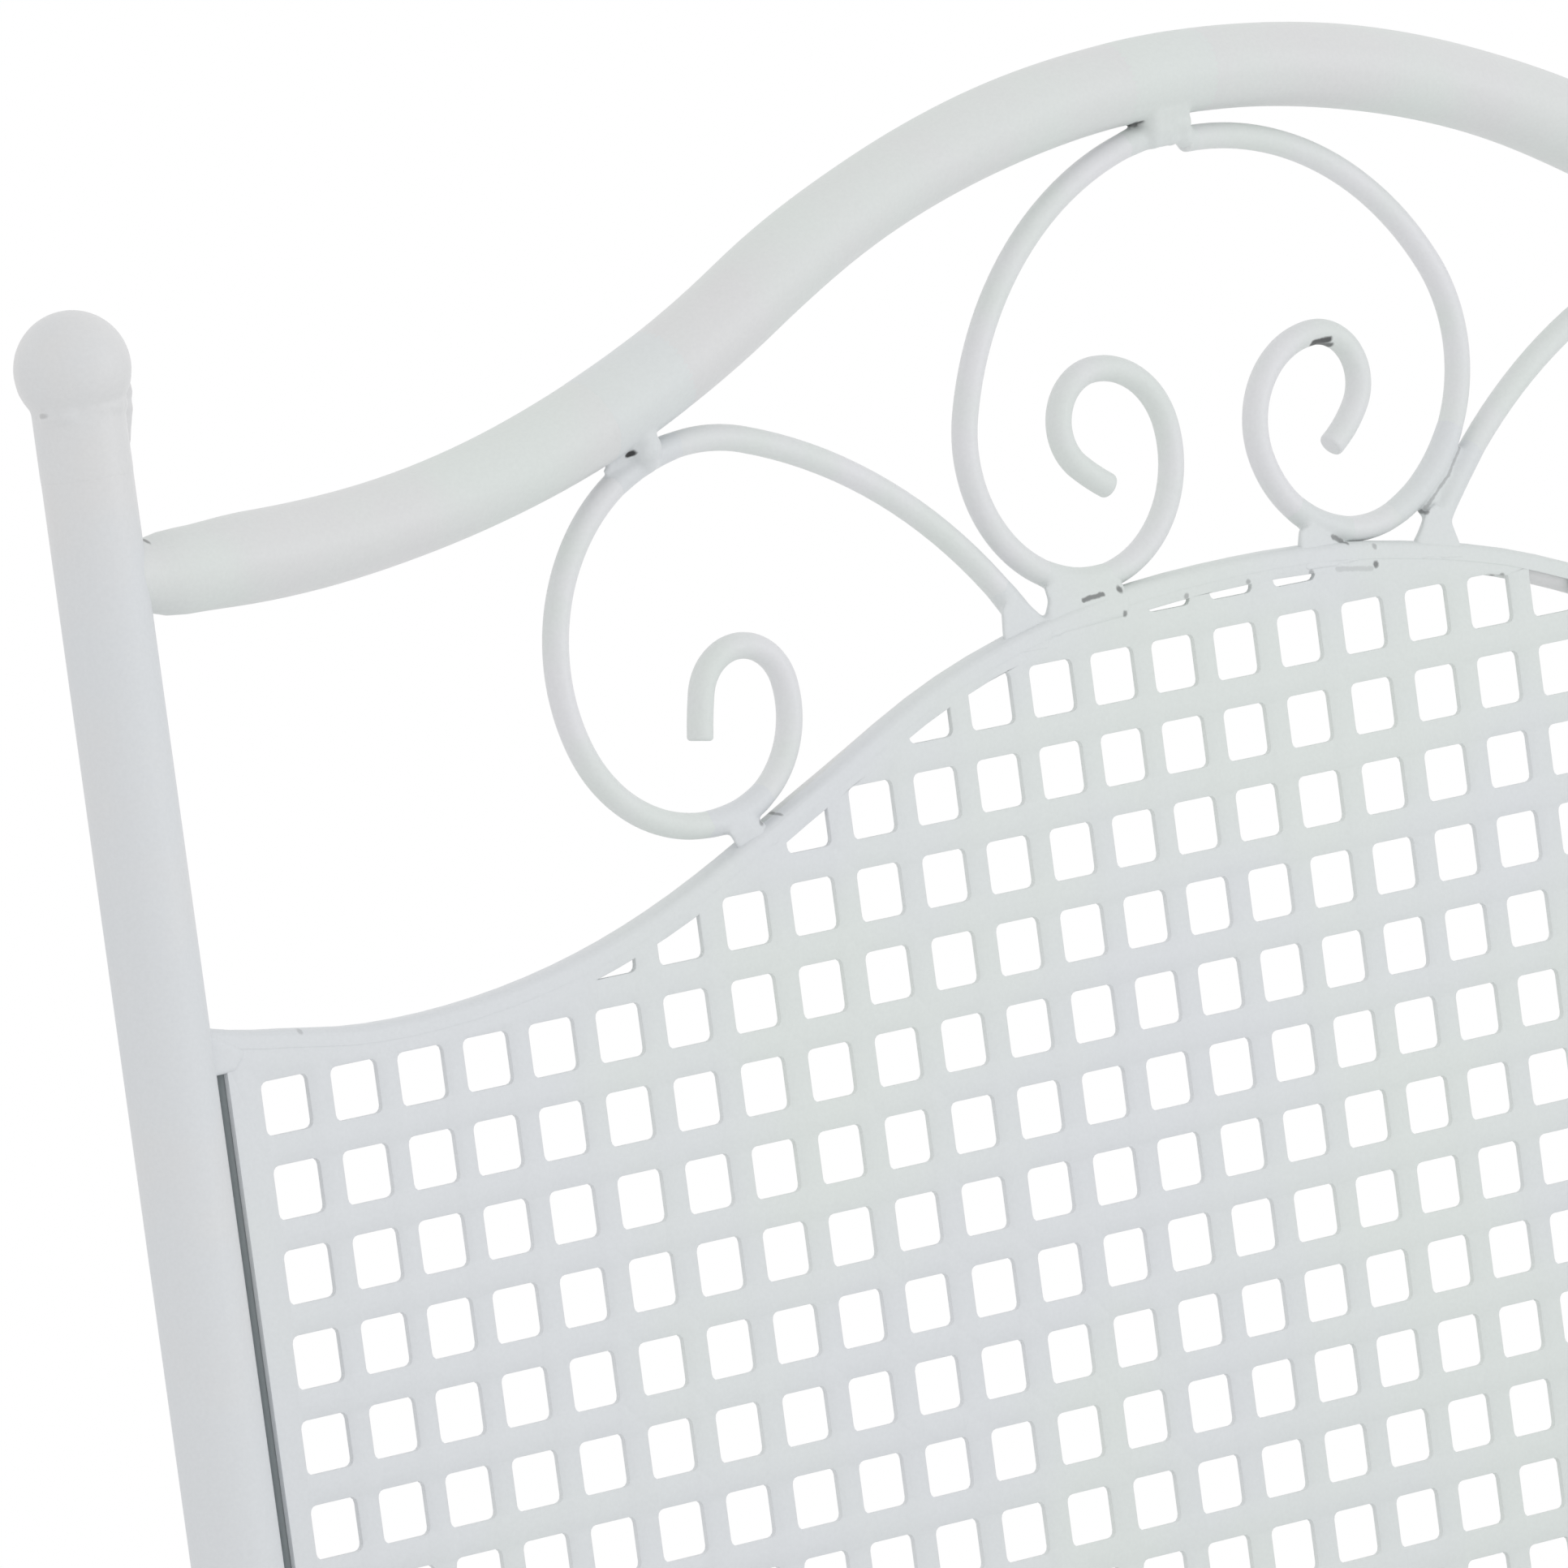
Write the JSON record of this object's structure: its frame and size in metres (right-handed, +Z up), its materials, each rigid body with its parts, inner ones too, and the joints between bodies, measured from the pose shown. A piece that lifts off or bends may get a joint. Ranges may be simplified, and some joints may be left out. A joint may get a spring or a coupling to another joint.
{
  "type": "garden chair",
  "caption": "Painted steel garden armchair: bent tube frame, arched top rail over wire scrolls, square-holed sheet back and a bolted-in sheet seat.",
  "frame": {"origin": "on the floor under the middle of the chair", "axes": "+Z up, -Y to the front where the sitter faces, +X to the right as seen from the front"},
  "size_m": [0.5176, 0.5492, 0.8816],
  "materials": {
    "white_paint": "satin white paint over welded steel, a little uneven",
    "zinc": "zinc plated",
    "cap_plastic": "matt pale grey moulded plastic"
  },
  "bodies": {
    "root": {"back_post_left": "white_paint", "back_post_right": "white_paint", "ball_finials": "white_paint", "top_rail": "white_paint", "back_panel": "white_paint", "panel_rim_top": "white_paint", "panel_rim_bottom": "white_paint", "panel_rim_left": "white_paint", "panel_rim_right": "white_paint", "scroll_left": "white_paint", "scroll_center": "white_paint", "scroll_right": "white_paint", "arm_leg_left": "white_paint", "arm_leg_right": "white_paint", "rear_stretcher": "white_paint", "seat_frame": "white_paint", "seat_rear_rail": "white_paint", "seat_slats": "white_paint", "seat_panel": "white_paint", "seat_bolts": "zinc", "seat_nuts": "zinc", "seat_spacers": "cap_plastic", "front_foot_caps": "cap_plastic", "rear_foot_caps": "cap_plastic"}
  },
  "joints": []
}
